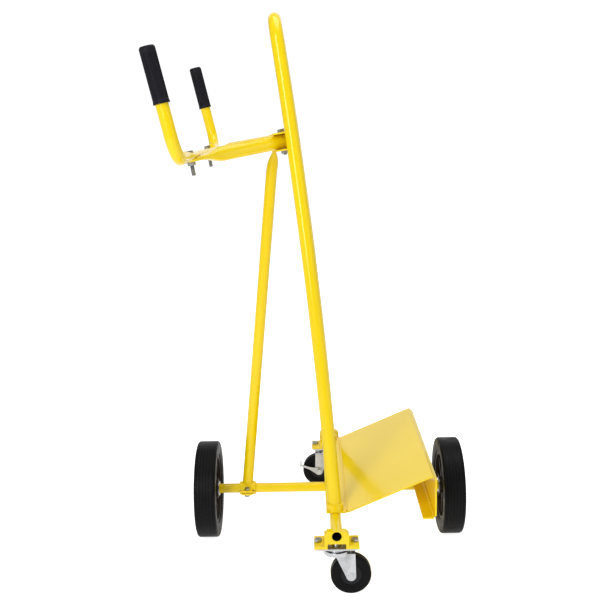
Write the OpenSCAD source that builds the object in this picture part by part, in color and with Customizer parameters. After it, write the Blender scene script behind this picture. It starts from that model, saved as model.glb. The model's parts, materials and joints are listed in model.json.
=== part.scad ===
// Wheel dolly: a tall tube hoop and a sheet tray on a cross-shaped base, with two
// fixed wheels on a left-to-right axle and two swivel casters, the far one with a brake.
// +Z is up, +X points to the tray, +Y to the far caster. The floor is Z = 0.

/* [Wheels] */
// Diameter of the two big wheels
wheel_d = 200; // [180:1:220]
// Tread width of the big wheels
wheel_w = 44; // [38:1:48]
// Distance from the base tube to the left wheel's middle
wheel_left = 262; // [240:1:280]
// Distance from the base tube to the right wheel's middle
wheel_right = 246; // [240:1:270]
// Diameter of the solid axle rod
rod_d = 16; // [14:0.5:16]

/* [Frame] */
// Outer diameter of the axle tube
axle_tube_d = 20; // [19:0.5:22]
// Outer diameter of the base tube
base_tube_d = 22; // [20:0.5:24]
// Length of the base tube
base_tube_l = 554; // [540:1:580]
// Outer diameter of the hoop's tube
hoop_d = 25.4; // [22:0.2:28]
// Wall thickness of every tube
wall = 2; // [1.5:0.1:2]
// Height of the hoop's top
hoop_h = 1069; // [1040:1:1100]
// Half the distance between the legs at their feet
foot_y = 188; // [180:1:190]
// Lean of the hoop's legs at the foot
foot_lean = 4; // [3:0.1:5]
// Lean of the hoop's legs at the top bend
top_lean = 8.1; // [7:0.1:9]
// Angle at which each leg runs in towards the other
hoop_splay = 8.8733; // [8:0.0001:9]

/* [Tray] */
// Width of the tray, front to back
tray_w = 404; // [400:1:420]
// Thickness of the tray's sheet
sheet = 3; // [2:0.5:4]
// Where the ramp starts
ramp_x0 = 22; // [18:1:30]
// Where the ramp ends
ramp_x1 = 192.5; // [185:0.5:196]
// Rise of the ramp
ramp_rise = 73; // [60:1:80]
// Height of the lip's underside above the floor
lip_z = 117; // [116:1:122]
// Width of the lip
lip_w = 26; // [20:1:32]

/* [Handles] */
// Height of the handlebar's middle
bar_z = 807; // [790:1:820]
// Distance from the base tube back to the handlebar
bar_x = 253; // [240:1:262]
// Half the distance between the two grips
grip_y = 320; // [300:1:330]
// Tilt of the uprights from the vertical
upright_tilt = 12.6; // [8:0.1:16]
// Length of the uprights above the handlebar
upright_l = 181; // [170:1:190]
// Outer diameter of the handlebar's tube
bar_d = 22; // [20:0.5:24]
// Outer diameter of the grips
grip_d = 28; // [27:0.5:32]
// Length of the grips
grip_l = 92; // [80:1:110]
// Slope of the arms
deck_tilt = 9.5; // [6:0.5:12]
// Outer diameter of the arms
arm_d = 28; // [25:0.5:30]

/* [Casters] */
// Diameter of the caster wheels
caster_d = 76; // [74:1:77]
// Tread width of the caster wheels
caster_w = 24; // [20:1:26]
// Distance from the swivel axis to the caster wheel's axle
trail = 26; // [24:1:27]
// Distance of each swivel axis from the axle
swivel_y = 254; // [250:1:258]
// Height of the caster plate's top
plate_top = 96; // [95:0.5:97]

/* [Hidden] */

$fn = 48;
yellow = [0.93, 0.79, 0.09];
zinc = [0.72, 0.74, 0.76];
yellow_zinc = [0.78, 0.69, 0.38];
black = [0.06, 0.06, 0.065];
hub_grey = [0.2, 0.19, 0.18];

fit_gap = 0.05;       // radial running clearance of a shaft in its bore
skin_gap = 0.3;       // clearance between curved faces of different pieces

// Heights and places that follow from the driving sizes
axle_z = wheel_d / 2;
base_z = axle_z + (axle_tube_d + base_tube_d) / 2;
tray_z = base_z + base_tube_d / 2;
foot_z = tray_z + sheet;
left_end = bar_x + (upright_l + 1) * sin(upright_tilt) + grip_d / 2 * cos(upright_tilt);
right_end = wheel_right + 27;
frame_x = (left_end - right_end) / 2;

// Moves a piece from the base tube's own place to the middle of the whole dolly
module in_frame() translate([frame_x, 0, 0]) children();

// Straight round bar between two points
module rod(p, q, d) {
  v = q - p;
  l = norm(v);
  translate(p)
    rotate([0, acos(v.z / l), atan2(v.y, v.x)])
      cylinder(d = d, h = l);
}

// Cylinder along X or Y, centred
module along_x(d, l) rotate([0, 90, 0]) cylinder(d = d, h = l, center = true);
module along_y(d, l) rotate([90, 0, 0]) cylinder(d = d, h = l, center = true);

// Stadium outline, long side along X
module stadium(l, w) {
  square([l - w, w], center = true);
  for (s = [-1, 1]) translate([s * (l - w) / 2, 0]) circle(d = w);
}

// Hexagon prism on the XY plane
module hex(across, h) cylinder(d = across / cos(30), h = h, $fn = 6);

// Hex bolt: head on top of Z = 0, shank downwards
module hex_bolt(d, l, head_af, head_t) {
  translate([0, 0, -l]) cylinder(d = d, h = l + 1);
  hex(head_af, head_t);
}

// Hex nut with its bore, sitting below Z = 0
module hex_nut(d, af, h) {
  difference() {
    translate([0, 0, -h]) hex(af, h);
    translate([0, 0, -h - 1]) cylinder(d = d, h = h + 2);
  }
}

// ---------- hoop ----------
// Each leg is one long arc that starts on the end of the top bend, with no kink, and
// ends at the tray. The leg's reach along its own top end follows from the height.
leg_bend = top_lean - foot_lean;
hoop_rise = hoop_h - hoop_d / 2 - foot_z;
bend_share = cos(top_lean) * (1 - sin(hoop_splay)) / cos(hoop_splay);
leg_reach = (hoop_rise - foot_y * bend_share) / (cos(hoop_splay) * cos(top_lean)
  + tan(leg_bend / 2) * sin(top_lean) - sin(hoop_splay) * bend_share);
leg_r = round(leg_reach / sin(leg_bend));
bend_r = round((foot_y - leg_reach * sin(hoop_splay)) / cos(hoop_splay) * 10) / 10;
bend_z = hoop_h - hoop_d / 2 - bend_r * cos(top_lean);
leg_sag = leg_r * (1 - cos(leg_bend));
bend_x = (bend_r * sin(hoop_splay) - leg_reach * cos(hoop_splay)) * sin(top_lean)
  + leg_sag * cos(top_lean);

module hoop_solid(d, foot_over) translate([bend_x, 0, bend_z]) rotate([0, -top_lean, 0])
  rotate([90, 0, 90]) {
    for (side = [0, 1])
      mirror([side, 0, 0]) rotate([0, 0, hoop_splay]) {
        rotate_extrude(angle = 90 - hoop_splay, $fn = 96)
          translate([bend_r, 0]) circle(d = d);
        translate([bend_r, 0, -leg_r]) rotate([180, -90, 0])
          rotate_extrude(angle = leg_bend + foot_over, $fn = 96)
            translate([leg_r, 0]) circle(d = d);
      }
  }

foot_over = 0.05;       // extra angle, cut off level with the tray
module hoop() in_frame() color(yellow) difference() {
  hoop_solid(hoop_d, foot_over);
  hoop_solid(hoop_d - 2 * wall, 2 * foot_over);
  translate([0, 0, foot_z - 25]) cube([100, 500, 50], center = true);
}

collar_h = 12;
collar_d = 32;
module leg_collars() in_frame() color(yellow) difference() {
  for (side = [-1, 1]) translate([0, side * foot_y, foot_z]) cylinder(d = collar_d, h = collar_h);
  hoop_solid(hoop_d + 2 * fit_gap, 2 * foot_over);
}

// ---------- base ----------
module base_tube() in_frame() color(yellow) difference() {
  translate([0, 0, base_z]) along_y(base_tube_d, base_tube_l);
  translate([0, 0, base_z]) along_y(base_tube_d - 2 * wall, base_tube_l + 2);
}

hub_l = 40;             // length of a big wheel's hub along the axle
washer_t = 2;
tube_left = -wheel_left + hub_l / 2 + washer_t;
tube_right = wheel_right - hub_l / 2 - washer_t;
module axle_tube() in_frame() color(yellow) translate([tube_left, 0, axle_z])
  rotate([0, 90, 0]) difference() {
    cylinder(d = axle_tube_d, h = tube_right - tube_left);
    translate([0, 0, -1]) cylinder(d = rod_d + 2 * fit_gap, h = tube_right - tube_left + 2);
  }

rod_past = 7;           // rod end beyond the hub's face
cotter_d = 3;
cotter_back = 3;        // cotter's axis back from the rod's end
rod_left = -wheel_left - hub_l / 2 - rod_past;
rod_right = wheel_right + hub_l / 2 + rod_past;
module axle_rod() in_frame() color(zinc) difference() {
  translate([rod_left, 0, axle_z]) rotate([0, 90, 0])
    cylinder(d = rod_d, h = rod_right - rod_left);
  for (x = [rod_left + cotter_back, rod_right - cotter_back])
    translate([x, 0, axle_z]) cylinder(d = cotter_d, h = rod_d + 2, center = true);
}

module axle_washers() in_frame() color(zinc)
  for (x = [tube_left - washer_t, tube_right, rod_left + rod_past - washer_t,
      rod_right - rod_past])
    translate([x, 0, axle_z]) rotate([0, 90, 0]) difference() {
      cylinder(d = 30, h = washer_t);
      translate([0, 0, -1]) cylinder(d = rod_d + 2 * fit_gap, h = washer_t + 2);
    }

module cotter_pins() in_frame() color(zinc)
  for (s = [[rod_left + cotter_back, 1], [rod_right - cotter_back, -1]])
    translate([s[0], 0, axle_z]) {
      cylinder(d = cotter_d, h = rod_d + 8, center = true);
      translate([0, 0, rod_d / 2 + 6]) along_x(5, 3);
    }

// ---------- tray ----------
tray_left = -17;
ramp_a = atan2(ramp_rise, ramp_x1 - ramp_x0);
module tray_profile() {
  polygon([
    [tray_left, tray_z], [ramp_x0 + sheet * tan(ramp_a / 2), tray_z],
    [ramp_x1 - sheet, tray_z + ramp_rise - sheet * tan(ramp_a) + sheet - sheet / cos(ramp_a)],
    [ramp_x1 - sheet, lip_z + sheet], [ramp_x1 - lip_w, lip_z + sheet],
    [ramp_x1 - lip_w, lip_z], [ramp_x1, lip_z],
    [ramp_x1, tray_z + ramp_rise + sheet], [ramp_x0, tray_z + sheet],
    [tray_left, tray_z + sheet]]);
}
tray_corner_r = 5;
module tray() in_frame() color(yellow) difference() {
  translate([0, tray_w / 2, 0]) rotate([90, 0, 0])
    linear_extrude(tray_w) tray_profile();
  // rounded free corners of the lip
  for (side = [-1, 1])
    translate([ramp_x1 - lip_w, side * tray_w / 2, lip_z - 1])
      difference() {
        cube([2 * tray_corner_r, 2 * tray_corner_r, 2 * sheet], center = true);
        translate([tray_corner_r, -side * tray_corner_r, 0])
          cylinder(r = tray_corner_r, h = 3 * sheet, center = true);
      }
}

rest_l = 60;
module tray_rest() in_frame() color(yellow) difference() {
  translate([ramp_x1 - lip_w / 2, 0, (lip_z + axle_z) / 2])
    cube([lip_w - 4, rest_l / 2, lip_z - axle_z], center = true);
  translate([ramp_x1, 0, axle_z]) along_x(axle_tube_d, 3 * lip_w);
}

// ---------- arms, their channel and their bolts ----------
// The deck is the sloping plane that the arms, the handlebar's flat and the channel
// share. Its origin is on the handlebar, +X runs up to the channel, +Z is its normal.
flat_t = 7;             // flattened handlebar
flat_w = 31;
tongue_t = 8;           // flattened arm end
tongue_w = 36;
bolt_d = 8;
bolt_af = 13;
head_h = 5.3;
nut_h = 6.5;
arm_bolt_x = 88;        // channel bolts, back from the base tube
arm_bolt_y = 46;
bar_bolt_y = 152;
deck_l = (bar_x - arm_bolt_x) / cos(deck_tilt);
channel_t = 3;
channel_l = 156;        // reaches into the legs' middles
channel_gap = arm_d + 2 * skin_gap;
channel_front = 16;     // plates' front edge, ahead of the bolts
channel_back = 20;      // web's back face, behind the bolts
splay = atan2(bar_bolt_y - arm_bolt_y, deck_l);
arm_l = norm([bar_bolt_y - arm_bolt_y, deck_l]);

module on_deck() translate([-bar_x, 0, bar_z]) rotate([0, -deck_tilt, 0])
  translate([0, 0, -(flat_t + tongue_t) / 2]) children();
module at_arm_bolts() on_deck() for (side = [-1, 1])
  translate([deck_l, side * arm_bolt_y, 0]) children();
module at_bar_bolts() on_deck() for (side = [-1, 1])
  translate([0, side * bar_bolt_y, 0]) children();
module at_brace_bolt() on_deck() translate([deck_l - channel_front - channel_t, 0, 0])
  rotate([0, -90, 0]) children();

module bore_through(d, l) cylinder(d = d, h = l, center = true);

module cross_channel() in_frame() color(yellow) difference() {
  on_deck() translate([deck_l, 0, 0]) {
    for (s = [-1, 1])
      translate([(channel_back - channel_front) / 2, 0, s * (channel_gap + channel_t) / 2])
        cube([channel_back + channel_front, channel_l, channel_t], center = true);
    translate([channel_back - channel_t / 2, 0, 0])
      cube([channel_t, channel_l, channel_gap + channel_t], center = true);
    // plate across the mouth, for the brace
    translate([-channel_front - channel_t / 2, 0, 0])
      cube([channel_t, tongue_w, channel_gap + 2 * channel_t], center = true);
  }
  hoop_solid(hoop_d + 2 * fit_gap, 0);
  at_arm_bolts() bore_through(bolt_d, 60);
  at_brace_bolt() bore_through(bolt_d, 16);
}

flatten_from = 58;      // where the round tube ends, measured from the handlebar bolt
flatten_to = 34;
module arm(side) difference() {
  on_deck() translate([0, side * bar_bolt_y, 0]) rotate([0, 0, -side * splay]) {
    translate([flatten_from, 0, 0]) rotate([0, 90, 0])
      cylinder(d = arm_d, h = arm_l + 9 - flatten_from);
    hull() {
      translate([flatten_from, 0, 0]) rotate([0, 90, 0]) cylinder(d = arm_d, h = 1, $fn = 32);
      translate([flatten_to, 0, 0]) cube([1, tongue_w, tongue_t], center = true);
    }
    translate([flatten_to / 2, 0, 0]) cube([flatten_to, tongue_w, tongue_t], center = true);
    cylinder(d = tongue_w, h = tongue_t, center = true);
  }
  on_deck() translate([0, side * bar_bolt_y, 0]) rotate([0, 0, -side * splay])
    translate([flatten_from + 4, 0, 0]) rotate([0, 90, 0])
      cylinder(d = arm_d - 2 * wall, h = arm_l);
  at_arm_bolts() bore_through(bolt_d, 60);
  at_bar_bolts() bore_through(bolt_d, 40);
}
module arm_near() in_frame() color(yellow) arm(-1);
module arm_far() in_frame() color(yellow) arm(1);

arm_grip = channel_gap / 2 + channel_t;     // from the deck to a channel plate's face
module arm_bolts() in_frame() color(zinc) at_arm_bolts()
  translate([0, 0, arm_grip]) hex_bolt(bolt_d, 2 * arm_grip + 9, bolt_af, head_h);
module arm_nuts() in_frame() color(zinc) at_arm_bolts()
  translate([0, 0, -arm_grip]) hex_nut(bolt_d, bolt_af, nut_h);

bar_bolt_l = 40;
module handlebar_bolts() in_frame() color(zinc) at_bar_bolts()
  translate([0, 0, tongue_t / 2 + flat_t]) hex_bolt(bolt_d, bar_bolt_l, bolt_af, head_h);
module handlebar_nuts() in_frame() color(zinc) at_bar_bolts()
  translate([0, 0, -tongue_t / 2]) hex_nut(bolt_d, bolt_af, nut_h);

// ---------- handlebar and grips ----------
corner_r = 42;
flat_y = 196;           // half length of the flattened middle
flat_run = 34;          // length over which the tube flattens
// The bar's own plane: X across the dolly, Y up along the uprights
module on_bar() translate([-bar_x, 0, bar_z]) rotate([0, -upright_tilt, 0])
  rotate([90, 0, 90]) children();

module upright(side, d, from, to) on_bar()
  translate([side * grip_y, from, 0]) rotate([-90, 0, 0]) cylinder(d = d, h = to - from);

module bar_corner(side, d) on_bar() translate([side * (grip_y - corner_r), corner_r, 0])
  rotate([0, 0, side == 1 ? -90 : 180]) rotate_extrude(angle = 90)
    translate([corner_r, 0]) circle(d = d);

module bar_solid(d, from) {
  for (side = [-1, 1]) {
    upright(side, d, corner_r, upright_l);
    bar_corner(side, d);
    on_bar() translate([side * (grip_y - corner_r), 0, 0]) rotate([0, -side * 90, 0])
      cylinder(d = d, h = grip_y - corner_r - from);
  }
}

lap = 2;                // how far a flattened stretch runs into its neighbours
module handlebar() in_frame() color(yellow) difference() {
  union() {
    bar_solid(bar_d, flat_y + flat_run);
    for (side = [-1, 1])
      hull() {
        translate([-bar_x, side * (flat_y + flat_run + lap), bar_z]) rotate([90, 0, 0])
          cylinder(d = bar_d - skin_gap, h = 1, center = true, $fn = 32);
        translate([-bar_x, side * (flat_y - lap), bar_z]) rotate([0, -deck_tilt, 0])
          cube([flat_w - skin_gap, 1, flat_t - skin_gap], center = true);
      }
    translate([-bar_x, 0, bar_z]) rotate([90, -deck_tilt, 0])
      linear_extrude(2 * flat_y, center = true) stadium(flat_w + flat_t / 2, flat_t);
  }
  bar_solid(bar_d - 2 * wall, flat_y + flat_run + 2 * lap);
  at_bar_bolts() bore_through(bolt_d, 60);
}

grip_end_t = 3;
grip_top = upright_l + grip_end_t;
grip_chamfer = 2;
module grip(side) difference() {
  union() {
    upright(side, grip_d, grip_top - grip_l, grip_top - grip_chamfer);
    on_bar() translate([side * grip_y, grip_top - grip_chamfer, 0]) rotate([-90, 0, 0])
      cylinder(d1 = grip_d, d2 = grip_d - 2 * grip_chamfer, h = grip_chamfer);
  }
  upright(side, bar_d, grip_top - grip_l - 1, upright_l);
}
module grip_near() in_frame() color(black) grip(-1);
module grip_far() in_frame() color(black) grip(1);

// ---------- brace ----------
clamp_x = -180;
clamp_l = 34;
clamp_t = 4;
clamp_slit = 1.5;
clamp_bolt_y = 21;
clamp_bolt_d = 6;
ear_y = 29;
ear_t = 4;
brace_d = 22;
tab_l = 19;             // flat tab, from its bolt down to the channel's lower edge
brace_foot = [clamp_x, 0, axle_z + axle_tube_d / 2 + 1];
brace_neck = [-110, 0, bar_z - 21];
brace_dir = (brace_neck - brace_foot) / norm(brace_neck - brace_foot);
module brace() in_frame() color(yellow) difference() {
  union() {
    rod(brace_foot, brace_neck, brace_d);
    hull() {
      rod(brace_neck - 2 * lap * brace_dir, brace_neck - lap * brace_dir, brace_d - skin_gap,
        $fn = 32);
      at_brace_bolt() translate([1 - tab_l, 0, flat_t / 2])
        cube([2, flat_w - skin_gap, flat_t - skin_gap], center = true);
    }
    at_brace_bolt() {
      translate([-tab_l / 2, 0, flat_t / 2]) cube([tab_l, flat_w, flat_t], center = true);
      cylinder(d = flat_w, h = flat_t);
    }
  }
  rod(brace_foot - 20 * brace_dir, brace_neck - 4 * lap * brace_dir, brace_d - 2 * wall);
  translate([clamp_x, 0, axle_z]) along_x(axle_tube_d + 2 * clamp_t, 2 * clamp_l);
  at_brace_bolt() bore_through(bolt_d, 40);
}
module brace_bolt() in_frame() color(zinc) at_brace_bolt()
  translate([0, 0, flat_t]) hex_bolt(bolt_d, flat_t + channel_t + 9, bolt_af, head_h);
module brace_nut() in_frame() color(zinc) at_brace_bolt()
  translate([0, 0, -channel_t]) hex_nut(bolt_d, bolt_af, nut_h);

module clamp_half(s) translate([clamp_x, 0, axle_z]) difference() {
  union() {
    intersection() {
      along_x(axle_tube_d + 2 * clamp_t, clamp_l);
      translate([0, 0, s * (20 + clamp_slit / 2)]) cube([clamp_l, 60, 40], center = true);
    }
    for (y = [-1, 1])
      translate([0, y * (ear_y / 2 + 6), s * (clamp_slit + ear_t) / 2])
        cube([clamp_l - 12, ear_y - 12, ear_t], center = true);
  }
  along_x(axle_tube_d, clamp_l + 2);
  for (y = [-1, 1]) translate([0, y * clamp_bolt_y, 0]) bore_through(clamp_bolt_d, 30);
}
module brace_clamp_upper() in_frame() color(yellow) clamp_half(1);
module brace_clamp_lower() in_frame() color(yellow) clamp_half(-1);

clamp_face = clamp_slit / 2 + ear_t;
module at_clamp_bolts(z) for (y = [-1, 1])
  translate([clamp_x, y * clamp_bolt_y, axle_z + z]) children();
module clamp_bolts() in_frame() color(zinc) at_clamp_bolts(clamp_face)
  hex_bolt(clamp_bolt_d, 2 * clamp_face + 7, 10, 4);
module clamp_nuts() in_frame() color(zinc) at_clamp_bolts(-clamp_face)
  hex_nut(clamp_bolt_d, 10, 5);

// ---------- big wheels ----------
rim_d = 144;
rim_w = 36;
rim_t = 7;
tread_r = 5;            // rounding of the tyre's shoulders
boss_d = 36;
bush_d = 22;
rib_n = 8;
web_t = 6;

// Tyre section, radius along X and width along Y, with rounded shoulders
module tyre_section(d_out, d_in, w, r) {
  translate([d_in / 2, -w / 2]) square([(d_out - d_in) / 2 - r, w]);
  translate([d_in / 2, -w / 2 + r]) square([(d_out - d_in) / 2, w - 2 * r]);
  for (s = [-1, 1]) translate([d_out / 2 - r, s * (w / 2 - r)]) circle(r = r);
}
module at_wheel(x) in_frame() translate([x, 0, axle_z]) rotate([0, 90, 0]) children();

groove_w = 2;
groove_t = 1.2;
module big_tyre(x) at_wheel(x) rotate_extrude($fn = 96) difference() {
  tyre_section(wheel_d, rim_d, wheel_w, tread_r);
  for (s = [-1, 1]) translate([wheel_d / 2 - groove_t, s * wheel_w / 6 - groove_w / 2])
    square([2 * groove_t, groove_w]);
}
module tyre_left() color(black) big_tyre(-wheel_left);
module tyre_right() color(black) big_tyre(wheel_right);

module big_hub(x) at_wheel(x) difference() {
  union() {
    difference() {
      cylinder(d = rim_d, h = rim_w, center = true, $fn = 96);
      cylinder(d = rim_d - 2 * rim_t, h = rim_w + 2, center = true, $fn = 96);
    }
    cylinder(d = rim_d - rim_t, h = web_t, center = true);
    cylinder(d = boss_d, h = hub_l, center = true);
    for (i = [0 : rib_n - 1])
      rotate([0, 0, i * 360 / rib_n]) translate([boss_d / 2 - 2, -2, -rim_w / 2 + 4])
        cube([(rim_d - rim_t - boss_d) / 2, 4, rim_w - 8]);
  }
  bore_through(bush_d, hub_l + 2);
}
module hub_left() color(hub_grey) big_hub(-wheel_left);
module hub_right() color(hub_grey) big_hub(wheel_right);

module big_bush(x) at_wheel(x) difference() {
  cylinder(d = bush_d, h = hub_l, center = true);
  bore_through(rod_d + 2 * fit_gap, hub_l + 2);
}
module bush_left() color(zinc) big_bush(-wheel_left);
module bush_right() color(zinc) big_bush(wheel_right);

// ---------- casters ----------
// Caster frame: origin under the swivel axis on the floor, +X the way the wheel
// trails. The far caster is the near one turned round, with a brake lever added.
plate_t = 3;
plate_l = 84;
plate_w = 46;
caster_bolt_x = 34;
crown_z = 80;
crown_t = 3;
crown_d = 50;
race_z = 88;            // underside of the plate's upper race
race_d = 42;
king_d = 10;
cup_t = 2;
ball_d = 4.9;
ball_ring = 31;
ball_n = 14;
leg_in = caster_w / 2 + 2;
leg_t = 2.5;
leg_end_r = 9;
pin_d = 8;
caster_z = caster_d / 2;

module at_caster(side) in_frame() translate([0, side * swivel_y, 0])
  rotate([0, 0, side == 1 ? 180 : 0]) children();
module both_casters() for (side = [-1, 1]) at_caster(side) children();

saddle_w = 45;
saddle_l = 46;
saddle_top = 130;       // the base tube's top shows above it
hat_top = 111;          // low part, under the tube
block_l = 15;           // tall part, at the outer end
block_cut = 6;
foot_l = 83;
foot_t = 5;
arch_w = 34;
arch_h = 10;
module saddle(side) at_caster(side) difference() {
  union() {
    translate([0, 0, plate_top + foot_t / 2]) cube([foot_l, saddle_l, foot_t], center = true);
    translate([0, 0, (plate_top + hat_top) / 2])
      cube([saddle_w, saddle_l, hat_top - plate_top], center = true);
    translate([0, block_l - saddle_l / 2, 0]) rotate([90, 0, 0]) linear_extrude(block_l)
      polygon([[-saddle_w / 2, plate_top], [saddle_w / 2, plate_top],
        [saddle_w / 2, saddle_top - block_cut], [saddle_w / 2 - block_cut, saddle_top],
        [block_cut - saddle_w / 2, saddle_top], [-saddle_w / 2, saddle_top - block_cut]]);
  }
  translate([0, 0, plate_top]) cube([arch_w, saddle_l + 2, 2 * arch_h], center = true);
  translate([0, 0, base_z]) along_y(base_tube_d, saddle_l + 2);
  for (x = [-1, 1]) translate([x * caster_bolt_x, 0, plate_top]) bore_through(bolt_d, 20);
}
module saddle_near() color(yellow) saddle(-1);
module saddle_far() color(yellow) saddle(1);

module caster_plate(side) at_caster(side) difference() {
  union() {
    translate([0, 0, plate_top - plate_t]) linear_extrude(plate_t) {
      square([plate_l - 20, plate_w], center = true);
      square([plate_l, plate_w - 20], center = true);
      for (x = [-1, 1], y = [-1, 1])
        translate([x * (plate_l / 2 - 10), y * (plate_w / 2 - 10)]) circle(r = 10);
    }
    translate([0, 0, race_z]) cylinder(d = race_d, h = plate_top - plate_t - race_z);
  }
  translate([0, 0, plate_top]) bore_through(king_d, 30);
  for (x = [-1, 1]) translate([x * caster_bolt_x, 0, plate_top]) bore_through(bolt_d, 20);
}
module caster_plate_near() color(zinc) caster_plate(-1);
module caster_plate_far() color(zinc) caster_plate(1);

module kingpin(side) at_caster(side) {
  translate([0, 0, crown_z - 2.2]) cylinder(d = 18, h = 2);
  translate([0, 0, crown_z - 1]) cylinder(d = king_d, h = plate_top - crown_z + 1);
  translate([0, 0, plate_top]) cylinder(d = 17, h = 3);
}
module kingpin_near() color(zinc) kingpin(-1);
module kingpin_far() color(zinc) kingpin(1);

module caster_balls(side) at_caster(side) for (i = [0 : ball_n - 1])
  rotate([0, 0, i * 360 / ball_n])
    translate([ball_ring / 2, 0, (race_z + crown_z + crown_t) / 2]) sphere(d = ball_d, $fn = 24);
module caster_balls_near() color(zinc) caster_balls(-1);
module caster_balls_far() color(zinc) caster_balls(1);

module leg_outline() {
  translate([trail, caster_z]) circle(r = leg_end_r);
  polygon([[-4, crown_z + crown_t], [trail + 8, crown_z + crown_t],
    [trail + leg_end_r, caster_z + 1], [trail - leg_end_r * cos(33), caster_z - leg_end_r * sin(33)]]);
}
module fork(side) at_caster(side) difference() {
  union() {
    translate([0, 0, crown_z]) cylinder(d = crown_d, h = crown_t);
    translate([(trail + 8) / 2 - 2, 0, crown_z + crown_t / 2])
      cube([trail + 12, 2 * (leg_in + leg_t), crown_t], center = true);
    difference() {
      translate([0, 0, crown_z]) cylinder(d = crown_d, h = race_z - crown_z - 0.5);
      translate([0, 0, crown_z + crown_t]) cylinder(d = crown_d - 2 * cup_t, h = 20);
    }
    for (y = [-leg_in, leg_in + leg_t]) translate([0, y, 0]) rotate([90, 0, 0])
      linear_extrude(leg_t) leg_outline();
  }
  translate([0, 0, crown_z]) bore_through(king_d + 2 * fit_gap, 20);
  translate([trail, 0, caster_z]) along_y(pin_d, 60);
}
module fork_near() color(zinc) fork(-1);
module fork_far() color(zinc) fork(1);

module at_caster_wheel(side) at_caster(side) translate([trail, 0, caster_z])
  rotate([90, 0, 0]) children();

core_d = 40;
core_l = 27.6;
module caster_tyre(side) at_caster_wheel(side) rotate_extrude($fn = 64)
  tyre_section(caster_d, core_d, caster_w, 4);
module caster_tyre_near() color(black) caster_tyre(-1);
module caster_tyre_far() color(black) caster_tyre(1);

module caster_hub(side) at_caster_wheel(side) difference() {
  union() {
    cylinder(d = core_d, h = caster_w - 4, center = true);
    cylinder(d = 18, h = core_l, center = true);
  }
  bore_through(pin_d + 2 * fit_gap, core_l + 2);
}
module caster_hub_near() color(black) caster_hub(-1);
module caster_hub_far() color(black) caster_hub(1);

lever_t = 2.5;
lever_in = leg_in + leg_t + 0.2;
pin_head = 4.5;
rivet_t = 0.8;
// Riveted end on the outer side, a nut or the lever and its head on the inner side
module caster_pin(side, past) at_caster_wheel(side) {
  translate([0, 0, -past]) cylinder(d = pin_d, h = past + leg_in + leg_t);
  translate([0, 0, leg_in + leg_t]) cylinder(d = 12, h = rivet_t);
  translate([0, 0, -past - pin_head]) hex(12, pin_head);
}
module caster_pin_near() color(zinc) caster_pin(-1, leg_in + leg_t);
module caster_pin_far() color(zinc) caster_pin(1, lever_in + lever_t + 0.2);

lever_up = 20;          // the lever's angle above the horizontal when it is free
lever_l = 46.5;
pedal_w = 24;
module brake_lever() color(zinc) at_caster(1) translate([trail, 0, caster_z])
  rotate([0, -lever_up, 0]) difference() {
    union() {
      translate([0, lever_in + lever_t, 0]) rotate([90, 0, 0]) linear_extrude(lever_t) {
        circle(r = 9);
        polygon([[2, 8.6], [24, 3], [lever_l, 2], [lever_l, -2], [24, -3], [2, -8.6]]);
      }
      translate([lever_l, lever_in + lever_t - pedal_w / 2, 0])
        cube([3, pedal_w, 9], center = true);
    }
    along_y(pin_d + 2 * fit_gap, 80);
  }

caster_bolt_top = plate_top + foot_t;
bolt_past = 2;          // bolt ends below their nuts
caster_bolt_l = foot_t + plate_t + nut_h + bolt_past;
module caster_bolts() color(yellow_zinc) both_casters() for (x = [-1, 1])
  translate([x * caster_bolt_x, 0, caster_bolt_top])
    hex_bolt(bolt_d, caster_bolt_l, bolt_af, head_h);
module caster_nuts() color(yellow_zinc) both_casters() for (x = [-1, 1])
  translate([x * caster_bolt_x, 0, plate_top - plate_t]) hex_nut(bolt_d, bolt_af, nut_h);

hoop();
leg_collars();
base_tube();
axle_tube();
axle_rod();
tray();
tray_rest();
cross_channel();
arm_near();
arm_far();
arm_bolts();
arm_nuts();
handlebar();
handlebar_bolts();
handlebar_nuts();
grip_near();
grip_far();
brace();
brace_bolt();
brace_nut();
brace_clamp_upper();
brace_clamp_lower();
clamp_bolts();
clamp_nuts();
saddle_near();
saddle_far();
tyre_left();
tyre_right();
hub_left();
hub_right();
bush_left();
bush_right();
axle_washers();
cotter_pins();
caster_plate_near();
caster_plate_far();
caster_bolts();
caster_nuts();
kingpin_near();
kingpin_far();
caster_balls_near();
caster_balls_far();
fork_near();
fork_far();
caster_tyre_near();
caster_tyre_far();
caster_hub_near();
caster_hub_far();
caster_pin_near();
caster_pin_far();
brake_lever();
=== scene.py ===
import bmesh
import bpy
import json
import math
from mathutils import Matrix, Vector, noise


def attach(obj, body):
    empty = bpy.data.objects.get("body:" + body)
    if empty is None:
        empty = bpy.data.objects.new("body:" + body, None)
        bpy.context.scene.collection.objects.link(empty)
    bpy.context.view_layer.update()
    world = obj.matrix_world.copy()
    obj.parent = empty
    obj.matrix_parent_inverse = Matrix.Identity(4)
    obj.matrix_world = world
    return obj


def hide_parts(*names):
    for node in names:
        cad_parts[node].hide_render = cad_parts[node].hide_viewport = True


# The looks of the wheel dolly, built round its CAD frame.
# Lengths are in mm, X and Y from the base tube's middle and Z from the floor,
# unless a comment says metres.
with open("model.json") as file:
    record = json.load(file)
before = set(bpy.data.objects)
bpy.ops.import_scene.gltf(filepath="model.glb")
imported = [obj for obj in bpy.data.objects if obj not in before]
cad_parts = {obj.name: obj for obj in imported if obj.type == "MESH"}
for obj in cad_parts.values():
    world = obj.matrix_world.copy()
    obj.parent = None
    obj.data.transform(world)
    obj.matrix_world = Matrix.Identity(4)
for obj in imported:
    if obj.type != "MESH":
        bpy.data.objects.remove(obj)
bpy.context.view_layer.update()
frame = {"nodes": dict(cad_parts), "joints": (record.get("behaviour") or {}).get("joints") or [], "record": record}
NODES = frame["nodes"]
MM = 0.001

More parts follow.
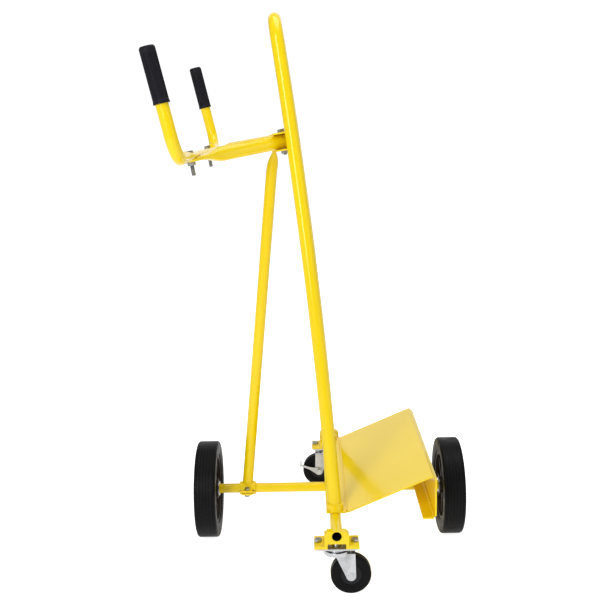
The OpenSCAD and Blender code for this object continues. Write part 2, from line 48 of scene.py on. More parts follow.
# ---------- sizes ----------
HOOP_D, HOOP_H = 25.4, 1069
FOOT_Y, FOOT_Z = 188, 135       # where a leg stands on the tray
COLLAR_H = 12
TRAY_LEFT, TRAY_Z, TRAY_W, SHEET = -17, 132, 404, 3
RAMP_X0, RAMP_X1, RAMP_RISE = 22, 192.5, 73
LIP_Z, LIP_W = 117, 26
BAR_X, BAR_Z, BAR_D = -253, 807, 22
GRIP_Y, CORNER = 320.0, 42.0    # the uprights' place and the bend below them
UPRIGHT_L = 181
GRIP_FROM, GRIP_TO = 92, 184    # a grip's ends along the upright
ARM_D, ARM_FLAT = 28, 8.0
ARM_Y, BAR_Y = 46.0, 152.0      # the arms' bolts at the channel and at the handlebar
BRACE_D = 22
BRACE_X, CLAMP_Z = -180, 104.75
BASE_Z, BASE_HALF, BASE_BORE = 121, 277, 9
WHEEL_X = {"left": -262, "right": 246}      # the middles of the big wheels
WHEEL_R, WHEEL_W = 100, 44
CASTER_Y, CASTER_R, CASTER_W, TRAIL = 254, 38, 24, 26
FLAT_T = 7                      # a 2 mm tube pressed flat, with room in it


# ---------- materials ----------
class Shader:
    """A node material with one Principled shader, built up call by call."""

    def __init__(self, name, **inputs):
        self.mat = bpy.data.materials.new(name)
        self.mat.use_nodes = True
        self.tree = self.mat.node_tree
        self.bsdf = self.tree.nodes["Principled BSDF"]
        for key, value in inputs.items():
            self.bsdf.inputs[key.replace("_", " ")].default_value = value
        self.coords = self.node("ShaderNodeTexCoord").outputs["Object"]
        self.bump_out = None

    def node(self, kind, **values):
        n = self.tree.nodes.new(kind)
        for key, value in values.items():
            n.inputs[key.replace("_", " ")].default_value = value
        return n

    def link(self, a, b):
        self.tree.links.new(a, b)

    def noise(self, scale, detail=3.0, stretch=(1, 1, 1), rough=0.5):
        m = self.node("ShaderNodeMapping")
        m.inputs["Scale"].default_value = stretch
        self.link(self.coords, m.inputs["Vector"])
        n = self.node("ShaderNodeTexNoise", Scale=scale, Detail=detail, Roughness=rough)
        self.link(m.outputs["Vector"], n.inputs["Vector"])
        return n.outputs["Fac"]

    def ramp(self, fac, stops):
        r = self.node("ShaderNodeValToRGB")
        e = r.color_ramp.elements
        while len(e) < len(stops):
            e.new(0.5)
        for item, (pos, col) in zip(e, stops):
            item.position = pos
            item.color = (*col, 1) if len(col) == 3 else col
        self.link(fac, r.inputs["Fac"])
        return r.outputs["Color"]

    def range(self, fac, lo, hi, a=0.35, b=0.65):
        n = self.node("ShaderNodeMapRange")
        n.inputs["From Min"].default_value = a
        n.inputs["From Max"].default_value = b
        n.inputs["To Min"].default_value = lo
        n.inputs["To Max"].default_value = hi
        self.link(fac, n.inputs["Value"])
        return n.outputs["Result"]

    def mix(self, fac, a, b, mode="MIX"):
        n = self.tree.nodes.new("ShaderNodeMix")
        n.data_type = "RGBA"
        n.blend_type = mode
        for value, socket in ((fac, n.inputs[0]), (a, n.inputs[6]), (b, n.inputs[7])):
            if isinstance(value, (int, float)):
                socket.default_value = value
            elif isinstance(value, tuple):
                socket.default_value = (*value, 1)
            else:
                self.link(value, socket)
        return n.outputs[2]

    def edges(self, lo=0.51, hi=0.6):
        """1 on convex edges, 0 elsewhere."""
        g = self.node("ShaderNodeNewGeometry")
        return self.range(g.outputs["Pointiness"], 0.0, 1.0, lo, hi)

    def bump(self, height, strength, distance):
        b = self.node("ShaderNodeBump", Strength=strength, Distance=distance)
        self.link(height, b.inputs["Height"])
        if self.bump_out is not None:
            self.link(self.bump_out, b.inputs["Normal"])
        self.bump_out = b.outputs["Normal"]
        self.link(self.bump_out, self.bsdf.inputs["Normal"])

    def set(self, key, value):
        self.link(value, self.bsdf.inputs[key])


def powder_coat():
    s = Shader("yellow_coat", Specular_IOR_Level=0.32, Coat_Weight=0.16, Coat_Roughness=0.08)
    tone = s.ramp(s.noise(5, 3), [(0.3, (0.86, 0.62, 0.001)), (0.7, (0.90, 0.66, 0.002))])
    dusty = s.mix(s.range(s.noise(38, 6, rough=0.7), 0.0, 0.05, 0.5, 0.8), tone, (0.66, 0.42, 0.02))
    worn = s.mix(s.range(s.noise(220, 3), 0.0, 0.4, 0.55, 0.75), dusty, (0.55, 0.36, 0.02))
    s.set("Base Color", s.mix(s.edges(), dusty, worn))
    s.set("Roughness", s.range(s.noise(24, 5, rough=0.6), 0.16, 0.24))
    s.bump(s.noise(420, 2), 0.03, 0.0003)
    return s.mat


def rubber(name, dark, light, rough):
    s = Shader(name, Specular_IOR_Level=0.08)
    tone = s.ramp(s.noise(30, 6, rough=0.65), [(0.3, dark), (0.75, light)])
    scuffs = s.range(s.noise(140, 5, rough=0.7), 0.0, 0.35, 0.62, 0.78)
    scuffed = s.mix(scuffs, tone, (0.011, 0.011, 0.011))
    s.set("Base Color", s.mix(s.edges(0.5, 0.62), scuffed, (0.010, 0.010, 0.010)))
    s.set("Roughness", s.range(s.noise(60, 4), rough - 0.07, rough + 0.08))
    s.bump(s.noise(900, 3), 0.12, 0.0005)
    return s.mat


def plated(name, base, tint, rough):
    s = Shader(name, Metallic=1.0)
    tone = s.ramp(s.noise(70, 5), [(0.3, base), (0.7, tint)])
    stains = s.range(s.noise(260, 4, rough=0.7), 0.0, 0.45, 0.6, 0.75)
    aged = s.mix(stains, tone, tuple(c * 0.6 for c in base))
    s.set("Base Color", s.mix(s.edges(), aged, tuple(min(1, c * 1.2) for c in tint)))
    s.set("Roughness", s.range(s.noise(120, 5, rough=0.6), rough - 0.08, rough + 0.12))
    s.bump(s.noise(1200, 2, stretch=(1, 1, 0.3)), 0.08, 0.0003)
    return s.mat


def plastic(name, base, tint, rough):
    s = Shader(name, Specular_IOR_Level=0.2)
    s.set("Base Color", s.mix(s.edges(), s.ramp(s.noise(40, 5), [(0.3, base), (0.7, tint)]), tint))
    s.set("Roughness", s.range(s.noise(80, 4), rough - 0.06, rough + 0.08))
    s.bump(s.noise(700, 3), 0.1, 0.0004)
    return s.mat


MATS = {
    "yellow": powder_coat(),
    "zinc": plated("zinc_plate", (0.38, 0.39, 0.40), (0.54, 0.55, 0.57), 0.28),
    "yellow_zinc": plated("yellow_zinc_plate", (0.62, 0.50, 0.26), (0.76, 0.68, 0.46), 0.32),
    "tyre_rubber": rubber("tyre_rubber", (0.003, 0.003, 0.004), (0.006, 0.006, 0.008), 0.42),
    "caster_rubber": rubber("caster_rubber", (0.004, 0.004, 0.004), (0.007, 0.007, 0.008), 0.42),
    "grip_rubber": rubber("grip_rubber", (0.010, 0.009, 0.013), (0.018, 0.017, 0.023), 0.45),
    "hub_plastic": plastic("hub_plastic", (0.022, 0.016, 0.012), (0.040, 0.030, 0.022), 0.42),
    "core_plastic": plastic("core_plastic", (0.004, 0.004, 0.005), (0.008, 0.008, 0.009), 0.4),
}
# Near-black material for the base tube's bore: painted shade for the tube's dark inside, not the steel's own
# colour
MATS["bore"] = plastic("bore_painted_shade", (0.004, 0.004, 0.003), (0.010, 0.009, 0.006), 0.6)
MATS["bolt"] = plated("zinc_bolt", (0.15, 0.155, 0.16), (0.34, 0.35, 0.36), 0.30)
SLOT = {s["node"]: s["material_slot"] for s in frame["record"]["subparts"]}
BODY = {n: b for b, ns in frame["record"]["behaviour"]["bodies"].items() for n in ns}
# The base tube's middle stands this far along X in the frame's own place
FX = [j for j in frame["joints"] if j["name"] == "near_caster_swivel"][0]["pos_m"][0] / MM

for name, ob in NODES.items():
    for i in range(len(ob.material_slots)):
        ob.material_slots[i].link = "DATA"
        ob.data.materials[i] = MATS[SLOT[name]]


# ---------- helpers ----------
def shown(name, bm, node, bevel=0.0, segments=2):
    """Makes a piece from a mesh, standing for a CAD node."""
    me = bpy.data.meshes.new(name)
    bmesh.ops.recalc_face_normals(bm, faces=bm.faces)
    bm.to_mesh(me)
    bm.free()
    return dress(name, me, node, bevel, segments)


def dress(name, me, node, bevel, segments):
    """Gives a mesh its shading, material and body, and shows it in place of a CAD node."""
    for p in me.polygons:
        p.use_smooth = True
    ob = bpy.data.objects.new(name, me)
    bpy.context.scene.collection.objects.link(ob)
    if bevel:
        m = ob.modifiers.new("bevel", "BEVEL")
        m.width = bevel * MM
        m.segments = segments
        m.limit_method = "ANGLE"
        m.angle_limit = math.radians(28)
        m.harden_normals = True
    else:
        me.set_sharp_from_angle(angle=math.radians(40))
    me.materials.clear()
    me.materials.append(MATS[SLOT[node]])
    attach(ob, BODY[node])
    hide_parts(node)
    return ob


def detail(name, bm, node):
    """A small added piece that goes with a CAD node, without standing for it."""
    me = bpy.data.meshes.new(name)
    bmesh.ops.recalc_face_normals(bm, faces=bm.faces)
    bm.to_mesh(me)
    bm.free()
    for p in me.polygons:
        p.use_smooth = True
    me.set_sharp_from_angle(angle=math.radians(50))
    ob = bpy.data.objects.new(name, me)
    bpy.context.scene.collection.objects.link(ob)
    me.materials.append(MATS[SLOT[node]])
    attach(ob, BODY[node])
    return ob


def refined(node, bevel, segments=2):
    """The CAD node's own shape, with its flat faces made whole and its edges rounded."""
    me = NODES[node].data.copy()
    me.name = node + "_skin"
    bm = bmesh.new()
    bm.from_mesh(me)
    bmesh.ops.remove_doubles(bm, verts=bm.verts, dist=2e-6)
    bmesh.ops.dissolve_limit(bm, angle_limit=math.radians(1.0), verts=bm.verts, edges=bm.edges)
    bm.to_mesh(me)
    bm.free()
    if "custom_normal" in me.attributes:
        me.attributes.remove(me.attributes["custom_normal"])
    return dress(node + "_skin", me, node, bevel, segments)


def put(bm, p):
    """A vertex in metres, in the frame's own place, for a point in mm from the base tube."""
    return bm.verts.new(((p[0] + FX) * MM, p[1] * MM, p[2] * MM))


def skin_rings(bm, rings, close=False, caps=True):
    """Joins rings of points, one after the other, into a tube."""
    rows = [[put(bm, p) for p in ring] for ring in rings]
    n = len(rows[0])
    pairs = list(zip(rows, rows[1:])) + ([(rows[-1], rows[0])] if close else [])
    for a, b in pairs:
        for i in range(n):
            bm.faces.new((a[i], a[(i + 1) % n], b[(i + 1) % n], b[i]))
    if caps and not close:
        bm.faces.new(rows[0])
        bm.faces.new(list(reversed(rows[-1])))
    return rows


def stadium(width, thick, count=48):
    """Outline of a flattened tube: two half circles and the flats between them."""
    r = thick / 2
    half = max(0.0, (width - thick) / 2)
    out = []
    for i in range(count):
        a = 2 * math.pi * (i + 0.5) / count
        out.append((math.copysign(half, math.cos(a)) + r * math.cos(a), r * math.sin(a)))
    return out


def sweep(bm, stations, caps=True):
    """stations: (centre, width direction, thickness direction, width, thickness)."""
    rings = []
    for c, w, t, wide, thick in stations:
        rings.append([c + w * u + t * v for u, v in stadium(wide, thick)])
    skin_rings(bm, rings, caps=caps)


def smooth(t):
    """0 below 0, 1 above 1, and an even S between."""
    t = min(1.0, max(0.0, t))
    return t * t * (3 - 2 * t)


def lathe(bm, profile, centre, axis, side, turns=128):
    """Turns a profile of (along axis, radius) about an axis; side is any perpendicular."""
    other = axis.cross(side)
    rings = []
    for i in range(turns):
        a = 2 * math.pi * i / turns
        d = side * math.cos(a) + other * math.sin(a)
        rings.append([centre + axis * x + d * r for x, r in profile])
    rows = [[put(bm, p) for p in ring] for ring in rings]
    n = len(profile)
    for k in range(turns):
        a, b = rows[k], rows[(k + 1) % turns]
        for i in range(n):
            bm.faces.new((a[i], a[(i + 1) % n], b[(i + 1) % n], b[i]))


X, Y, Z = Vector((1, 0, 0)), Vector((0, 1, 0)), Vector((0, 0, 1))

# The deck is the tilted plane that the arms, the channel and the handlebar's flat lie in
DECK_TILT = math.radians(9.5)
DECK_X = Vector((math.cos(DECK_TILT), 0, math.sin(DECK_TILT)))
DECK_N = Vector((-math.sin(DECK_TILT), 0, math.cos(DECK_TILT)))
BAR = Vector((BAR_X, 0, BAR_Z))
DECK_O = BAR - DECK_N * (ARM_FLAT + FLAT_T) / 2
CHANNEL_X = -88
DECK_L = (CHANNEL_X - BAR_X) / math.cos(DECK_TILT)


def deck(x, y, z):
    """A point given along the deck from the handlebar, across it and above it."""
    return DECK_O + DECK_X * x + Y * y + DECK_N * z


# ---------- hoop ----------
SPLAY, LEAN, FOOT_LEAN = math.radians(8.8733), math.radians(8.1), math.radians(4.0)
LEG_BEND = LEAN - FOOT_LEAN
RISE = HOOP_H - HOOP_D / 2 - FOOT_Z
SHARE = math.cos(LEAN) * (1 - math.sin(SPLAY)) / math.cos(SPLAY)
REACH = (RISE - FOOT_Y * SHARE) / (math.cos(SPLAY) * math.cos(LEAN)
    + math.tan(LEG_BEND / 2) * math.sin(LEAN) - math.sin(SPLAY) * SHARE)
LEG_R = REACH / math.sin(LEG_BEND)
BEND_R = (FOOT_Y - REACH * math.sin(SPLAY)) / math.cos(SPLAY)
BEND_Z = HOOP_H - HOOP_D / 2 - BEND_R * math.cos(LEAN)
BEND_X = (BEND_R * math.sin(SPLAY) - REACH * math.cos(SPLAY)) * math.sin(LEAN) \
    + LEG_R * (1 - math.cos(LEG_BEND)) * math.cos(LEAN)


def hoop_place(y, up, out):
    """A point given in the top bend's plane: across, up the plane and out of it."""
    return Vector((BEND_X - up * math.sin(LEAN) + out * math.cos(LEAN), y,
        BEND_Z + up * math.cos(LEAN) + out * math.sin(LEAN)))


def hoop_path(steps=40):
    """The tube's middle line, from the far leg's foot over the top to the near leg's."""
    leg = []
    for i in range(steps + 1):
        a = LEG_BEND * i / steps
        down, out = LEG_R * math.sin(a), -LEG_R * (1 - math.cos(a))
        leg.append((BEND_R * math.cos(SPLAY) + down * math.sin(SPLAY),
            BEND_R * math.sin(SPLAY) - down * math.cos(SPLAY), out))
    top = []
    for i in range(1, steps):
        a = SPLAY + (math.pi - 2 * SPLAY) * i / steps
        top.append((BEND_R * math.cos(a), BEND_R * math.sin(a), 0))
    right = list(reversed(leg))
    return [hoop_place(*p) for p in right + top + [(-y, u, o) for y, u, o in leg]]


def hoop():
    path = hoop_path()
    stations = []
    for i, c in enumerate(path):
        t = (path[min(i + 1, len(path) - 1)] - path[max(i - 1, 0)]).normalized()
        w = (X - t * X.dot(t)).normalized()
        stations.append((c, w, t.cross(w), HOOP_D, HOOP_D))
    bm = bmesh.new()
    sweep(bm, stations)
    shown("hoop_tube", bm, "hoop")


def bead(bm, centre, normal, side, radius, size, seed, turns=120):
    """A rippled weld bead round a tube."""
    other = normal.cross(side)
    rings = []
    for i in range(turns):
        a = 2 * math.pi * i / turns
        d = side * math.cos(a) + other * math.sin(a)
        s = size * (1 + 0.14 * math.sin(a * 26 + seed) + 0.16 * noise.noise(Vector((a * 2, seed, 0))))
        rings.append([centre + d * (radius + s * 0.2 + s * math.cos(b)) + normal * (s * math.sin(b))
            for b in (2 * math.pi * k / 10 for k in range(10))])
    skin_rings(bm, rings, close=True)


hoop()
for label, side in (("near", -1), ("far", 1)):
    bm = bmesh.new()
    foot = Vector((0, side * FOOT_Y, FOOT_Z))
    lean = Vector((-0.9, -side * 1.9, COLLAR_H))        # the leg's way up to the collar's top
    bead(bm, foot + lean, Z, X, radius=13.2, size=1.6, seed=side)
    detail("leg_weld_" + label, bm, "leg_collars")
refined("leg_collars", 1.2, 3)

# ---------- handlebar ----------
TILT = math.radians(12.6)
UP = Vector((-math.sin(TILT), 0, math.cos(TILT)))
BAR_FLAT_W = 33


def bar_half(side):
    """(point, direction, how flat) along one half, from the upright's top to the middle."""
    pts = []
    base = BAR + Y * side * GRIP_Y
    for s in (UPRIGHT_L, 150, 110, 75, 55, CORNER):
        pts.append((base + UP * s, -UP, 0.0))
    c = BAR + Y * side * (GRIP_Y - CORNER) + UP * CORNER
    for i in range(1, 18):
        a = math.pi / 2 * i / 18
        pts.append((c + (Y * side * math.cos(a) - UP * math.sin(a)) * CORNER,
            (-Y * side * math.sin(a) - UP * math.cos(a)), 0.0))
    flat_from, flat_run = 234, 42
    bend_end = GRIP_Y - CORNER
    straight = [bend_end - 16 * k for k in range(3)]
    pressing = [flat_from - 2.5 * k for k in range(19)]
    for y in straight + pressing + [180, 130, 80, 40, 10]:
        pts.append((BAR + Y * side * y, -Y * side, smooth((flat_from - y) / flat_run)))
    return pts


def handlebar():
    far_half = [(p, -t, f) for p, t, f in reversed(bar_half(1))]
    stations = []
    for p, t, f in bar_half(-1) + far_half:
        w = (DECK_X - t * DECK_X.dot(t)).normalized()
        wide, thick = BAR_D + (BAR_FLAT_W - BAR_D) * f, BAR_D + (FLAT_T - BAR_D) * f
        stations.append((p, w, t.cross(w), wide, thick))
    bm = bmesh.new()
    sweep(bm, stations)
    shown("handlebar_tube", bm, "handlebar")


def grip(label, side):
    """A rubber sleeve: a plain flange, lengthwise ribs, and a round-edged closed end."""
    base = BAR + Y * side * GRIP_Y
    ribs, n = 22, 264
    rib_from, rib_to = 97.5, 174.5
    sleeve_r, flange_h, rib_h, end_round, moulding = 13.4, 0.6, 1.1, 2.2, 0.125
    flange = [GRIP_FROM, 92.6, 94, 96.5, 97.2, 97.8]
    ribbed_part = [98 + 1.4 * k for k in range(54)]
    end_part = [rib_to, 175.3, 177, 180, 182, 183.2, GRIP_TO]
    rings = []
    for s in flange + ribbed_part + end_part:
        ribbed = smooth((s - rib_from) / 2.5) * smooth((rib_to - s) / 2.5)
        raised = flange_h * (1 - smooth((s - 95.5) / 1.5))
        end = smooth((s - 180.5) / 3.5)
        ring = []
        for i in range(n):
            a = 2 * math.pi * i / n
            rib = max(0.0, math.cos(a * ribs)) ** 0.7
            r = sleeve_r + raised - rib_h * ribbed * (1 - rib) - end_round * end ** 1.5
            r -= moulding * math.sin(s * 0.9) ** 8 * ribbed
            ring.append(base + UP * s + Y * r * math.cos(a) + UP.cross(Y) * r * math.sin(a))
        rings.append(ring)
    bm = bmesh.new()
    skin_rings(bm, rings)
    shown("grip_%s_sleeve" % label, bm, "grip_" + label)


handlebar()
grip("near", -1)
grip("far", 1)


# ---------- arms ----------
def arm(label, side):
    """A tube from the channel to the handlebar, pressed flat at the handlebar's end."""
    end_r, flat_l, taper_l, past = 18, 22, 44, 9
    along = (DECK_X * DECK_L - Y * side * (BAR_Y - ARM_Y)).normalized()
    wide = DECK_N.cross(along)
    start = deck(0, side * BAR_Y, 0)
    length = math.hypot(DECK_L, BAR_Y - ARM_Y)
    bm = bmesh.new()
    stations = []
    for k in range(13):
        s = (end_r - 0.05) * (math.sin(math.pi / 2 * k / 12) - 1)
        width = max(ARM_FLAT, 2 * math.sqrt(end_r ** 2 - s * s))
        stations.append((start + along * s, wide, DECK_N, width, ARM_FLAT))
    for k in range(1, 36):
        s = 2 * k
        f = 1 - smooth((s - flat_l) / taper_l)
        width, thick = ARM_D + (2 * end_r - ARM_D) * f ** 0.8, ARM_D + (ARM_FLAT - ARM_D) * f
        stations.append((start + along * s, wide, DECK_N, width, thick))
    for s in (90, 120, 150, length + past):
        stations.append((start + along * s, wide, DECK_N, ARM_D, ARM_D))
    sweep(bm, stations)
    shown("arm_%s_tube" % label, bm, "arm_" + label)


arm("near", -1)
arm("far", 1)

# ---------- brace ----------
BRACE_HOLE = deck(DECK_L - 19, 0, 0)


def brace():
    """A tube up from the clamp, turned and pressed flat into a tab with a round end."""
    tab_w, tab_l, tab_end, press_l = 31, 19, 15.4, 22
    foot = Vector((BRACE_X, 0, 111))
    neck = Vector((-110, 0, BAR_Z - 21))
    run = (neck - foot).normalized()
    low_s = (neck - foot).length - press_l
    stations = []
    for s in (0, 60, 200, 400, 560, low_s):
        stations.append((foot + run * s, Y, Y.cross(run), BRACE_D, BRACE_D))
    low = foot + run * low_s
    tab = BRACE_HOLE - DECK_X * FLAT_T / 2
    for k in range(1, 25):
        u = k / 24
        c = low.lerp(tab - DECK_N * tab_l, u)
        d = run.lerp(DECK_N, smooth(u)).normalized()
        f = max(0.0, (u - 0.3) / 0.7) ** 2.2
        wide, thick = BRACE_D + (tab_w - BRACE_D) * f, BRACE_D + (FLAT_T - BRACE_D) * f
        stations.append((c, Y, Y.cross(d), wide, thick))
    for k in range(13):
        a = math.pi / 2 * k / 12
        c = tab + DECK_N * tab_end * math.sin(a)
        wide = max(FLAT_T, tab_w * math.cos(a))
        stations.append((c, Y, Y.cross(DECK_N), wide, FLAT_T))
    bm = bmesh.new()
    sweep(bm, stations)
    shown("brace_tube", bm, "brace")


brace()


# ---------- tray ----------
def filleted(points, radius, steps=7, beside=0.8):
    """A polyline with its inner corners rounded, and a point beside each round for its shading."""
    out = [points[0]]
    for a, b, c in zip(points, points[1:], points[2:]):
        u, v = (a - b).normalized(), (c - b).normalized()
        half = math.acos(max(-1, min(1, u.dot(v)))) / 2
        back = radius / math.tan(half)
        centre = b + (u + v).normalized() * (radius / math.sin(half))
        p, q = b + u * back - centre, b + v * back - centre
        out.append(b + u * (back + beside))
        for k in range(steps + 1):
            out.append(centre + p.slerp(q, k / steps))
        out.append(b + v * (back + beside))
    return out + [points[-1]]


def tray():
    """The bent sheet: flat strip under the legs, ramp, down flange and inward lip."""
    half = SHEET / 2
    ramp = math.atan2(RAMP_RISE, RAMP_X1 - RAMP_X0)
    strip_z, flange_x, lip_z = TRAY_Z + half, RAMP_X1 - half, LIP_Z + half
    bend_x = RAMP_X0 + half * math.tan(ramp / 2)
    climb_x = RAMP_X0 + 0.3     # the bend, to a tenth
    top_z = strip_z + (flange_x - climb_x) * math.tan(ramp)
    corners = [(TRAY_LEFT, strip_z), (bend_x, strip_z), (flange_x, top_z), (flange_x, lip_z),
        (RAMP_X1 - LIP_W, lip_z)]
    line = filleted([Vector((x, 0, z)) for x, z in corners], radius=4.0)
    upper, lower = [], []
    for i, c in enumerate(line):
        t = (line[min(i + 1, len(line) - 1)] - line[max(i - 1, 0)]).normalized()
        n = Vector((-t.z, 0, t.x))
        upper.append(c + n * half)
        lower.append(c - n * half)
    outline = upper + list(reversed(lower))
    bm = bmesh.new()
    parts = 16
    rows = [[put(bm, p + Y * TRAY_W * (k / parts - 0.5)) for p in outline] for k in range(parts + 1)]
    n, m = len(outline), len(line)
    for a, b in zip(rows, rows[1:]):
        for i in range(n):
            bm.faces.new((a[i], a[(i + 1) % n], b[(i + 1) % n], b[i]))
    for row in (rows[0], rows[-1]):
        for i in range(m - 1):
            bm.faces.new((row[i], row[i + 1], row[n - 2 - i], row[n - 1 - i]))
    shown("tray_sheet", bm, "tray", bevel=0.5)


tray()

# ---------- bolts and nuts ----------
M8 = {"d": 8, "across": 13, "head": 5.3, "nut_h": 6.5, "pitch": 1.25}
M6 = {"d": 6, "across": 10, "head": 4, "nut_h": 5, "pitch": 1.0}


def hex_radius(a, across):
    """A hexagon's radius in direction a."""
    a = (a % (math.pi / 3)) - math.pi / 6
    return across / 2 / math.cos(a)


def hex_block(bm, base, axis, side, across, height, both):
    """A hexagon with its corners turned off at the top, and at the bottom when both is true."""
    other = axis.cross(side)
    n = 48
    c = across / 2 * 0.985      # radius of the round that the corners are turned down to
    slope = 0.577               # how steeply they are turned down, 30 degrees

    def ring(radius, level):
        return [base + (side * math.cos(a) + other * math.sin(a)) * radius(a) + axis * level(a)
            for a in (2 * math.pi * i / n for i in range(n))]

    def drop(a):
        return max(0.0, hex_radius(a, across) - c) * slope

    rings = [ring(lambda a: c, lambda a: 0.0)]
    rings.append(ring(lambda a: hex_radius(a, across), lambda a: drop(a) if both else 0.0))
    rings.append(ring(lambda a: hex_radius(a, across), lambda a: height - drop(a)))
    rings.append(ring(lambda a: c, lambda a: height))
    rings.append(ring(lambda a: c * 0.6, lambda a: height - (0.0 if both else 0.25)))
    skin_rings(bm, rings)


def threaded(bm, start, axis, side, radius, length, pitch):
    """A screw thread that starts at a face and ends in a chamfer."""
    other = axis.cross(side)
    n, steps = 28, 6
    count = max(6, int(length / pitch * steps))
    rings = []
    for k in range(count + 1):
        z = length * k / count
        tip = max(0.0, 1.2 - (length - z)) * 0.9
        ring = []
        for i in range(n):
            a = 2 * math.pi * i / n
            phase = (z / pitch + i / n) % 1.0
            r = radius - 0.465 * pitch * abs(2 * phase - 1) - tip
            ring.append(start + (side * math.cos(a) + other * math.sin(a)) * r + axis * z)
        rings.append(ring)
    skin_rings(bm, rings)


def circle(centre, axis, side, radius, count=28):
    """Points round an axis."""
    turns = [2 * math.pi * i / count for i in range(count)]
    return [centre + (side * math.cos(a) + axis.cross(side) * math.sin(a)) * radius for a in turns]


def fasteners(bolt_node, nut_node, places, size, length, nut_at):
    """Bolts with nuts; a place is (where the head sits, the shank's direction)."""
    bolts, nuts = bmesh.new(), bmesh.new()
    across, radius = size["across"], size["d"] / 2
    for k, (p, axis) in enumerate(places):
        s = (Matrix.Rotation(0.7 * k + 0.2, 3, axis) @ Y).normalized()
        hex_block(bolts, p, -axis, s, across, size["head"], False)
        skin_rings(bolts, [circle(p + axis * z, axis, s, radius) for z in (-0.5, nut_at)])
        threaded(bolts, p + axis * nut_at, axis, s, radius, length - nut_at, size["pitch"])
        s = (Matrix.Rotation(1.1 * k + 0.5, 3, axis) @ Y).normalized()
        hex_block(nuts, p + axis * nut_at, axis, s, across, size["nut_h"], True)
    for node, bm in ((bolt_node, bolts), (nut_node, nuts)):
        shown(node + "_made", bm, node).data.materials[0] = MATS["bolt"]


BOTH = (-1, 1)
arm_seats = [(deck(DECK_L, s * ARM_Y, 17.3), -DECK_N) for s in BOTH]
bar_seats = [(deck(0, s * BAR_Y, ARM_FLAT / 2 + FLAT_T), -DECK_N) for s in BOTH]
brace_seat = [(BRACE_HOLE - DECK_X * FLAT_T, DECK_X)]
clamp_seats = [(Vector((BRACE_X, s * 21, CLAMP_Z)), -Z) for s in BOTH]
saddle_seats = [(Vector((x * 34, s * CASTER_Y, 101)), -Z) for s in BOTH for x in BOTH]
fasteners("arm_bolts", "arm_nuts", arm_seats, M8, length=43.6, nut_at=34.6)
fasteners("handlebar_bolts", "handlebar_nuts", bar_seats, M8, length=40, nut_at=15)
fasteners("brace_bolt", "brace_nut", brace_seat, M8, length=19, nut_at=10)
fasteners("clamp_bolts", "clamp_nuts", clamp_seats, M6, length=16.5, nut_at=9.5)
fasteners("caster_bolts", "caster_nuts", saddle_seats, M8, length=16.5, nut_at=8)


# ---------- wheels ----------
def tyre_profile(width, radius, inner, shoulder, grooves=(), depth=0.0, half_groove=0.0):
    """Round-shouldered tyre section with a raised sidewall ring and tread grooves."""
    h = width / 2
    right = [(h - 3, inner), (h - 1.6, inner + 1.2), (h - 1.2, inner + 5), (h - 0.2, inner + 7),
        (h, inner + 9), (h, radius - shoulder)]
    for k in range(1, 8):
        a = math.pi / 2 * k / 8
        right.append((h - shoulder + shoulder * math.cos(a), radius - shoulder + shoulder * math.sin(a)))
    right.append((h - shoulder, radius))
    for g in grooves:
        right += [(g + half_groove + 0.3, radius), (g + half_groove, radius - 0.3),
            (g + half_groove * 0.7, radius - depth), (g - half_groove * 0.7, radius - depth),
            (g - half_groove, radius - 0.3), (g - half_groove - 0.3, radius)]
    return right + [(-x, r) for x, r in reversed(right)]


for label, x in WHEEL_X.items():
    bm = bmesh.new()
    tread = tyre_profile(WHEEL_W, WHEEL_R, 71.9, 5.0, grooves=(15.5, 9.3, 3.1), depth=0.5, half_groove=0.4)
    lathe(bm, tread, Vector((x, 0, WHEEL_R)), X, Y, 160)
    shown("tyre_%s_tread" % label, bm, "tyre_" + label)
    refined("hub_" + label, 0.9)

for label, side in (("near", -1), ("far", 1)):
    bm = bmesh.new()
    centre = Vector((-side * TRAIL, side * CASTER_Y, CASTER_R))
    lathe(bm, tyre_profile(CASTER_W, CASTER_R, 19.9, 5.0), centre, Y, X, 96)
    shown("caster_tyre_%s_tread" % label, bm, "caster_tyre_" + label)
    for part in ("caster_hub_", "fork_", "caster_plate_", "caster_pin_"):
        refined(part + label, 0.8)
    refined("saddle_" + label, 2.0, 3)

# ---------- other pieces, with their edges rounded ----------
refined("brake_lever", 0.6)
refined("cross_channel", 0.8)
refined("brace_clamp_upper", 1.0)
refined("brace_clamp_lower", 1.0)
refined("base_tube", 0.4)

# Painted shade: a near-black sheet lining the base tube's bore, a little inside its ends, for the dark inside of
# the open tube
bm = bmesh.new()
bore_end, bore_r = BASE_HALF - 0.6, BASE_BORE - 0.05
inner_r = bore_r - 0.35
shade_sheet = [(-bore_end, bore_r), (bore_end, bore_r), (bore_end, inner_r), (-bore_end, inner_r)]
lathe(bm, shade_sheet, Vector((0, 0, BASE_Z)), Y, X, 48)
detail("base_tube_bore_painted_shade", bm, "base_tube").data.materials[0] = MATS["bore"]

refined("axle_tube", 0.3)
refined("tray_rest", 1.0)

# ---------- stage, light and camera ----------
FLOOR_HALF = 30     # metres
me = bpy.data.meshes.new("floor")
bm = bmesh.new()
bmesh.ops.create_grid(bm, x_segments=2, y_segments=2, size=FLOOR_HALF)
bm.to_mesh(me)
bm.free()
floor = bpy.data.objects.new("floor", me)
bpy.context.scene.collection.objects.link(floor)
s = Shader("floor_paper", Roughness=0.9, Emission_Color=(1, 1, 1, 1))
seen = s.node("ShaderNodeLightPath")
s.set("Emission Strength", s.range(seen.outputs["Is Camera Ray"], 0.40, 0.84, 0.0, 1.0))
s.set("Base Color", s.ramp(s.noise(3, 3), [(0.3, (0.90, 0.90, 0.90)), (0.7, (0.92, 0.92, 0.92))]))
me.materials.append(s.mat)

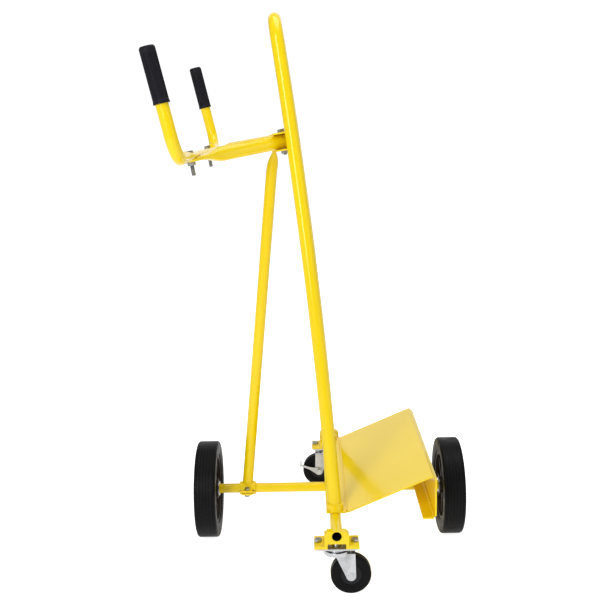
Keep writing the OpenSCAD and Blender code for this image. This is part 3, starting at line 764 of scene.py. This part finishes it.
# White to the eye, dimmer as a light, as in a studio with the paper lit apart
world = bpy.data.worlds.new("studio")
bpy.context.scene.world = world
world.use_nodes = True
tree = world.node_tree
back = tree.nodes["Background"]
back.inputs["Color"].default_value = (1, 1, 1, 1)
seen = tree.nodes.new("ShaderNodeLightPath")
level = tree.nodes.new("ShaderNodeMapRange")
level.inputs["To Min"].default_value = 0.30
level.inputs["To Max"].default_value = 1.05
tree.links.new(seen.outputs["Is Camera Ray"], level.inputs["Value"])
tree.links.new(level.outputs["Result"], back.inputs["Strength"])


def softbox(name, at, aim, size, power):
    """An area lamp that the camera doesn't see; places and sizes are in metres."""
    lamp = bpy.data.lights.new(name, "AREA")
    lamp.shape = "RECTANGLE"
    lamp.size, lamp.size_y = size
    lamp.energy = power
    ob = bpy.data.objects.new(name, lamp)
    ob.location = at
    ob.rotation_euler = (Vector(aim) - Vector(at)).to_track_quat("-Z", "Y").to_euler()
    ob.visible_camera = False
    bpy.context.scene.collection.objects.link(ob)


softbox("key", (-1.2, -2.65, 1.7), (0, 0, 0.5), (0.9, 1.9), 46)
softbox("top", (0.3, 0.0, 2.8), (0, 0, 0.4), (1.8, 1.8), 31)
softbox("fill", (2.4, -1.4, 1.0), (0, 0, 0.5), (0.8, 1.6), 5)
softbox("paper", (0.3, 3.4, 1.9), (0, 0, 0.7), (4.6, 3.2), 34)

# The camera that the photo's perspective gives, in degrees and mm, then turned a little
# about the dolly, so that the far leg hides behind the near one
YAW, PITCH, ROLL = -1.462, 11.474, -1.183
EYE = Vector((-15.1, -1793.2, 870.0))
TURN = 0.9
LENS, SENSOR = 53.82, 36

cam = bpy.data.cameras.new("camera")
cam.lens, cam.sensor_width = LENS, SENSOR
camera = bpy.data.objects.new("camera", cam)
yaw, pitch, roll = math.radians(YAW + TURN), math.radians(PITCH), math.radians(ROLL)
ahead = Vector((math.sin(yaw) * math.cos(pitch), math.cos(yaw) * math.cos(pitch), -math.sin(pitch)))
level_right = Vector((math.cos(yaw), -math.sin(yaw), 0))
level_up = level_right.cross(ahead)
right = level_right * math.cos(roll) + level_up * math.sin(roll)
up = level_up * math.cos(roll) - level_right * math.sin(roll)
place = Matrix((right, up, -ahead)).transposed().to_4x4()
eye = Matrix.Rotation(-math.radians(TURN), 3, "Z") @ EYE
place.translation = Vector((eye.x + FX, eye.y, eye.z)) * MM
camera.matrix_world = place
bpy.context.scene.collection.objects.link(camera)
bpy.context.scene.camera = camera
bpy.context.scene.view_settings.view_transform = "Standard"
